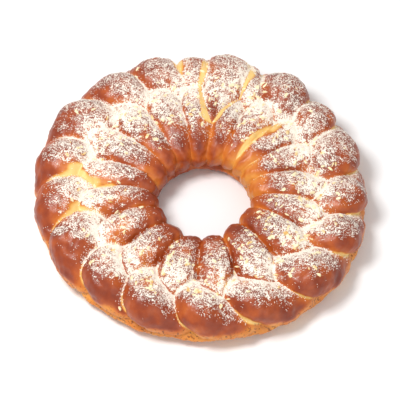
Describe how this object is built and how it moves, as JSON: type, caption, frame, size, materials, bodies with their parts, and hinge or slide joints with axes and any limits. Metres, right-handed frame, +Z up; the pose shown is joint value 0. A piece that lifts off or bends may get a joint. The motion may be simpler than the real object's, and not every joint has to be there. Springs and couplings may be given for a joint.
{
  "type": "ring-shaped braided loaf",
  "caption": "Sweet plaited loaf baked as a closed ring, with a glazed brown crust, pale creases between the ropes of dough, powdered sugar and chopped almonds; it stands on its flat base",
  "frame": {"origin": "middle of the footprint, on the surface that the loaf stands on", "axes": "+Z up, through the hole; the join of the plait, its fattest stretch, is at +Y; -Y is the front"},
  "size_m": [0.3092, 0.3186, 0.0505],
  "materials": {
    "glazed_crust": "satin",
    "blanched_almond": "satin"
  },
  "bodies": {
    "root": {"loaf": "glazed_crust", "almond_chip_01": "blanched_almond", "almond_chip_02": "blanched_almond", "almond_chip_03": "blanched_almond", "almond_chip_04": "blanched_almond", "almond_chip_05": "blanched_almond", "almond_chip_06": "blanched_almond", "almond_chip_07": "blanched_almond", "almond_chip_08": "blanched_almond", "almond_chip_09": "blanched_almond", "almond_chip_10": "blanched_almond", "almond_chip_11": "blanched_almond", "almond_chip_12": "blanched_almond", "almond_chip_13": "blanched_almond", "almond_chip_14": "blanched_almond", "almond_chip_15": "blanched_almond", "almond_chip_16": "blanched_almond", "almond_chip_17": "blanched_almond", "almond_chip_18": "blanched_almond", "almond_chip_19": "blanched_almond", "almond_chip_20": "blanched_almond", "almond_chip_21": "blanched_almond", "almond_chip_22": "blanched_almond", "almond_chip_23": "blanched_almond", "almond_chip_24": "blanched_almond"}
  },
  "joints": []
}
